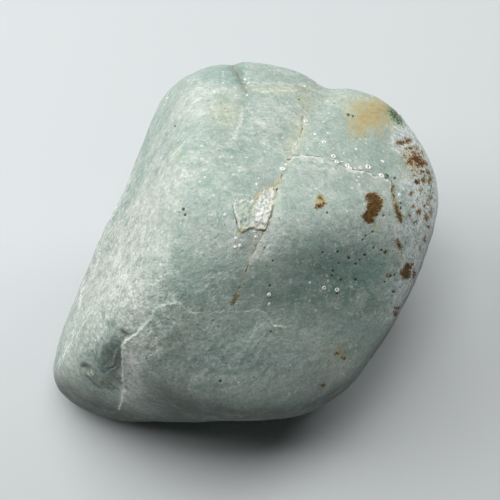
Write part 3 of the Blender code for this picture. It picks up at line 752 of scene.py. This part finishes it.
# Painted shadow below the scab's edge, strongest where the scab stands proud.
scab_shadow = reckon("MULTIPLY", spread(scab, -0.75, -0.25), spread(scab, 0.35, -0.1))
scab_shadow = reckon("MULTIPLY", scab_shadow, attribute("undercut_shadow"))
seam = spread(shifted(crack, fleck, 0.5), reckon("MULTIPLY_ADD", opened, 0.45, 0.30), 0.12)
seam = reckon("MULTIPLY", seam, spread(opened, 0.1, 0.8))
broken = spread(mottle(3.5, 2, 0.6, 0.3, 17), 0.36, 0.56)
silt_and_shadow = reckon("MAXIMUM", reckon("MULTIPLY", seam, broken), scab_shadow)
silt_and_shadow = reckon("MAXIMUM", silt_and_shadow, spread(attribute("pinhole"), 0.25, 0.8))
# Painted shadow in the upper ledge's step.
ledge_shadow = reckon("MULTIPLY", spread(lip, -1.0, -0.5), spread(lip, -0.05, -0.4))
ledge_shadow = reckon("MULTIPLY", reckon("MULTIPLY", ledge_shadow, attribute("ledge_shadow")), broken)
silt_and_shadow = reckon("MAXIMUM", silt_and_shadow, ledge_shadow)
# Painted shade in the hollows, the notch and the cleft.
colour = tint(reckon("MULTIPLY", attribute("hollow_shade"), 0.5), colour, SHADOWED)
colour = tint(reckon("MULTIPLY", silt_and_shadow, 0.85), colour, SILT_AND_SHADE)
tree.links.new(colour, shader.inputs["Base Color"])

# Its dull polish, and a bump for what is finer than the skin's cells.
rough = shifted(shifted(0.50, patch, 0.12), fleck, 0.16)
rough = reckon("MULTIPLY_ADD", reckon("MAXIMUM", rust_core, silt_and_shadow), 0.3, rough)
tree.links.new(reckon("MULTIPLY_ADD", scabbed, 0.2, rough), shader.inputs["Roughness"])
bumps = shifted(shifted(0.5, mottle(1.7, 4, 0.7, 0.3, 18), 1.2), crystals(1.1, "far", 9), 0.35)
bumps = shifted(bumps, mottle(3.4, 5, 0.66, 0.8, 25), reckon("MULTIPLY", coarse, 3.4))
bump = put("ShaderNodeBump", 0.9, 0.4 * MM, None, bumps)
tree.links.new(bump, shader.inputs["Normal"])
shader.inputs["Specular IOR Level"].default_value = 0.25
skin.data.materials.clear()
skin.data.materials.append(stone)
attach(skin, "root")
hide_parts("jade_boulder")

# ---- The lime rings
# Small tube-building animals settled on the boulder while it lay under water, most of all along its
# ledges and cracks. Each has left a ring of white lime, 2 to 3 mm across, with a dark fill in its hole,
# and many have since worn down to a dot.

# Where each is seen, across and up, with its outer radius.
RINGS = (
    (43.5, 48.7, 1.25), (45.2, 45.7, 1.2), (50.8, 44.0, 1.25), (52.1, 42.4, 1.05), (57.4, 42.8, 0.9),
    (61.6, 43.1, 1.45), (68.5, 38.6, 1.45), (78.0, 28.6, 1.0), (45.2, -20.8, 1.2), (38.5, -19.8, 1.1),
    (17.0, 42.2, 1.3), (29.1, 67.1, 1.0), (38.6, 56.1, 1.1), (1.0, 25.0, 0.8), (-13.0, 18.4, 0.7),
)
DOTS = (
    (62.9, 39.3, 0.9), (69.2, 46.1, 1.0), (55.3, 52.6, 0.9), (56.7, 38.0, 0.8), (57.1, 34.2, 0.7),
    (78.0, 25.6, 0.6), (33.8, 60.3, 0.8), (40.6, 60.8, 0.7), (3.6, 34.3, 0.8), (4.7, 37.4, 0.6),
    (-7.3, 6.2, 0.8), (3.1, 6.8, 0.9), (-5.2, 2.1, 0.9), (-7.8, 1.6, 0.8), (9.9, -23.4, 1.1),
    (9.9, -28.1, 0.8), (31.2, -17.2, 0.7), (-2.6, 88.9, 0.8), (-1.0, 86.8, 0.7), (-1.6, 80.6, 0.7),
    (28.6, 85.3, 0.8), (18.8, 44.6, 0.7), (2.2, 9.4, 0.6), (-9.6, 4.0, 0.4), (36.4, 55.2, 0.6),
    (32.8, 48.4, 0.7), (71.6, 36.2, 0.8), (48.0, 46.0, 0.6), (54.8, 42.4, 0.6), (-26.0, 35.6, 0.7),
    (-23.4, 37.8, 0.6), (-36.0, 14.0, 0.4), (21.0, -60.0, 0.4), (-6.0, -69.0, 0.5), (84.0, 8.0, 0.6),
)
RING_SWELL, DOT_SWELL = 0.95, 1.2  # how much wider each is than it looks
# Those out of sight: how many, their least and greatest radius, the share that are worn, and the seed.
HIDDEN_RINGS, HIDDEN_RADII, HIDDEN_WORN, HIDDEN_SEED = 44, (0.6, 1.4), 0.6, 7
CROWD_SCALE, CROWD_EDGE = 3.1, 0.05  # how finely they crowd together, and how dense a crowd's edge is
TUBE, DOT_FLATNESS = 0.40, 0.35  # thickness of a ring's wall and height of a dot, for a radius of 1
UNEVENNESS, UNEVEN_SCALE = 1.1 * MM, 1.4 / MM  # how far lime strays from a true round, and how finely

on_skin = BVHTree.FromPolygons(
    [v.co[:] for v in skin.data.vertices], [p.vertices[:] for p in skin.data.polygons]
)
eye = HEART + SHOW_OUT * SIGHT
settled = []
for living, worn, swell in ((RINGS, 0.0, RING_SWELL), (DOTS, 1.0, DOT_SWELL)):
    for across, up, radius in living:
        aim = HEART + SHOW_ACROSS * across + SHOW_UP * up - eye
        place, outward, *_ = on_skin.ray_cast(Vector(eye * MM), Vector(aim))
        settled.append((place, outward, radius * swell * MM, worn))
chance = np.random.default_rng(HIDDEN_SEED)
while len(settled) < len(RINGS) + len(DOTS) + HIDDEN_RINGS:
    aim = chance.normal(size=3)
    aim /= np.linalg.norm(aim)
    crowd = noise.noise(Vector(aim) * CROWD_SCALE)
    radius, worn = chance.uniform(*HIDDEN_RADII), float(chance.uniform() < HIDDEN_WORN)
    in_sight, underneath = aim @ SHOW_OUT > -0.05, aim[2] < -0.55
    if in_sight or underneath or crowd < CROWD_EDGE:
        continue
    place, outward, *_ = on_skin.ray_cast(Vector((HEART + aim * 300) * MM), Vector(-aim))
    settled.append((place, outward, radius * MM, worn))

places, outwards, radii, worn_down = zip(*settled)
seats = bpy.data.meshes.new("lime_rings")
seats.from_pydata(places, [], [])
layer = seats.attributes.new("outward", "FLOAT_VECTOR", "POINT")
layer.data.foreach_set("vector", np.array(outwards, np.float32).ravel())
for name, values in (("reach", radii), ("worn", worn_down)):
    layer = seats.attributes.new(name, "FLOAT", "POINT")
    layer.data.foreach_set("value", np.array(values, np.float32))
rings = bpy.data.objects.new("lime_rings", seats)
bpy.context.scene.collection.objects.link(rings)


def plain_material(name, colour, roughness):
    made = bpy.data.materials.new(name)
    made.use_nodes = True
    made.node_tree.nodes["Principled BSDF"].inputs["Base Color"].default_value = (*colour, 1)
    made.node_tree.nodes["Principled BSDF"].inputs["Roughness"].default_value = roughness
    return made


lime = plain_material("lime", (0.88, 0.87, 0.83), 0.7)
dark_fill = plain_material("dark_fill", SILT_AND_SHADE, 0.9)

growth = bpy.data.node_groups.new("lime rings", "GeometryNodeTree")
growth.interface.new_socket("Geometry", in_out="INPUT", socket_type="NodeSocketGeometry")
for name in ("Tube", "Flatness", "Unevenness"):
    growth.interface.new_socket(name, in_out="INPUT", socket_type="NodeSocketFloat")
growth.interface.new_socket("Geometry", in_out="OUTPUT", socket_type="NodeSocketGeometry")


def grow(kind, wanted=0, **given):
    """Adds a node to the rings' tree. The given names are its inputs, or settings in lower case."""
    made = growth.nodes.new(kind)
    for name, value in given.items():
        if name[0].islower():
            setattr(made, name, value)
    for name, value in given.items():
        if name[0].islower():
            continue
        socket = next(i for i in made.inputs if i.name == name.replace("_", " ") and i.enabled)
        for one in value if isinstance(value, list) else [value]:
            if isinstance(one, bpy.types.NodeSocket):
                growth.links.new(one, socket)
            else:
                socket.default_value = one
    return made.outputs[wanted]


given = growth.nodes.new("NodeGroupInput").outputs
outward = grow("GeometryNodeInputNamedAttribute", data_type="FLOAT_VECTOR", Name="outward")
reach = grow("GeometryNodeInputNamedAttribute", data_type="FLOAT", Name="reach")
worn = grow("GeometryNodeInputNamedAttribute", data_type="FLOAT", Name="worn")
stood = grow("FunctionNodeAlignRotationToVector", axis="Z", Vector=outward)
hoop = grow("GeometryNodeCurvePrimitiveCircle", Resolution=16, Radius=0.72)
wall = grow("GeometryNodeCurvePrimitiveCircle", Resolution=8, Radius=given["Tube"])
ring = grow("GeometryNodeCurveToMesh", Curve=hoop, Profile_Curve=wall)
bead = grow("GeometryNodeMeshUVSphere", Segments=12, Rings=8, Radius=0.8)
flat = grow("ShaderNodeCombineXYZ", X=1.0, Y=1.0, Z=given["Flatness"])
dot = grow("GeometryNodeTransform", Geometry=bead, Scale=flat)
plug = grow("GeometryNodeTransform", Geometry=bead, Scale=(0.62, 0.62, 0.14))
is_worn = grow("FunctionNodeCompare", data_type="FLOAT", operation="GREATER_THAN", A=worn, B=0.5)
is_open = grow("FunctionNodeBooleanMath", operation="NOT", Boolean=is_worn)
grown = []
for shape, where, finish in ((ring, is_open, lime), (dot, is_worn, lime), (plug, is_open, dark_fill)):
    on_stone = grow(
        "GeometryNodeInstanceOnPoints",
        Points=given["Geometry"],
        Selection=where,
        Instance=shape,
        Rotation=stood,
        Scale=reach,
    )
    real = grow("GeometryNodeRealizeInstances", Geometry=on_stone)
    grown.append(grow("GeometryNodeSetMaterial", Geometry=real, Material=finish))
whole = grow("GeometryNodeJoinGeometry", Geometry=grown)
rumple = grow("ShaderNodeTexNoise", 1, Scale=UNEVEN_SCALE, Detail=1.0)
off_centre = grow("ShaderNodeVectorMath", operation="SUBTRACT", Vector=rumple)
growth.nodes[-1].inputs[1].default_value = (0.5, 0.5, 0.5)  # the second input of the same name
moved = grow("ShaderNodeVectorMath", operation="SCALE", Vector=off_centre, Scale=given["Unevenness"])
uneven = grow("GeometryNodeSetPosition", Geometry=whole, Offset=moved)
soft = grow("GeometryNodeSetShadeSmooth", Geometry=uneven)
growth.links.new(soft, growth.nodes.new("NodeGroupOutput").inputs[0])

grower = rings.modifiers.new("growth", "NODES")
grower.node_group = growth
for name, value in (("Tube", TUBE), ("Flatness", DOT_FLATNESS), ("Unevenness", UNEVENNESS)):
    grower[growth.interface.items_tree[name].identifier] = value
evaluated = rings.evaluated_get(bpy.context.evaluated_depsgraph_get())
rings.data = bpy.data.meshes.new_from_object(evaluated)
rings.modifiers.clear()
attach(rings, "root")

# ---- The floor and the light
# A plain pale floor of 12 m square, so that its edges stay far off in low views, and four soft square
# lights: one overhead, one on the left and two behind.
FLOOR_REACH = 6.0
corners = [(x * FLOOR_REACH, y * FLOOR_REACH, 0) for x, y in ((-1, -1), (1, -1), (1, 1), (-1, 1))]
floor_mesh = bpy.data.meshes.new("floor")
floor_mesh.from_pydata(corners, [], [(0, 1, 2, 3)])
floor_mesh.materials.append(plain_material("floor", (0.59, 0.62, 0.63), 0.9))
floor = bpy.data.objects.new("floor", floor_mesh)
bpy.context.scene.collection.objects.link(floor)


LIGHT_DISTANCE = 1.1
LIGHT_AIM = Vector((0, 0, 0.06))  # about the boulder's middle


def softbox(name, towards, size, power):
    """A square soft light in that direction from the boulder, turned to face it."""
    light = bpy.data.lights.new(name, "AREA")
    light.size = size
    light.energy = power
    held = bpy.data.objects.new(name, light)
    held.location = Vector(towards).normalized() * LIGHT_DISTANCE + LIGHT_AIM
    held.rotation_euler = Vector(towards).to_track_quat("Z", "Y").to_euler()
    bpy.context.scene.collection.objects.link(held)


softbox("overhead", (0, 0, 1), 0.6, 6.8)
softbox("left", (-0.69, 0.10, 0.70), 0.8, 8.3)
softbox("back", (-0.44, 0.79, 0.37), 0.6, 3.2)
softbox("back right", (0.69, 0.58, 0.42), 0.5, 4.2)
world = bpy.data.worlds.new("world")
world.use_nodes = True
world.node_tree.nodes["Background"].inputs["Color"].default_value = (1, 1, 1, 1)
world.node_tree.nodes["Background"].inputs["Strength"].default_value = 0.02
bpy.context.scene.world = world
bpy.context.scene.view_settings.view_transform = "Standard"

# The camera is SIGHT away from the boulder's heart, square to its show face.
camera = bpy.data.cameras.new("camera")
camera.lens = 105
camera_held = bpy.data.objects.new("camera", camera)
camera_held.location = Vector(eye) * MM
camera_held.rotation_euler = Vector(SHOW_OUT).to_track_quat("Z", "Y").to_euler()
bpy.context.scene.collection.objects.link(camera_held)
bpy.context.scene.camera = camera_held
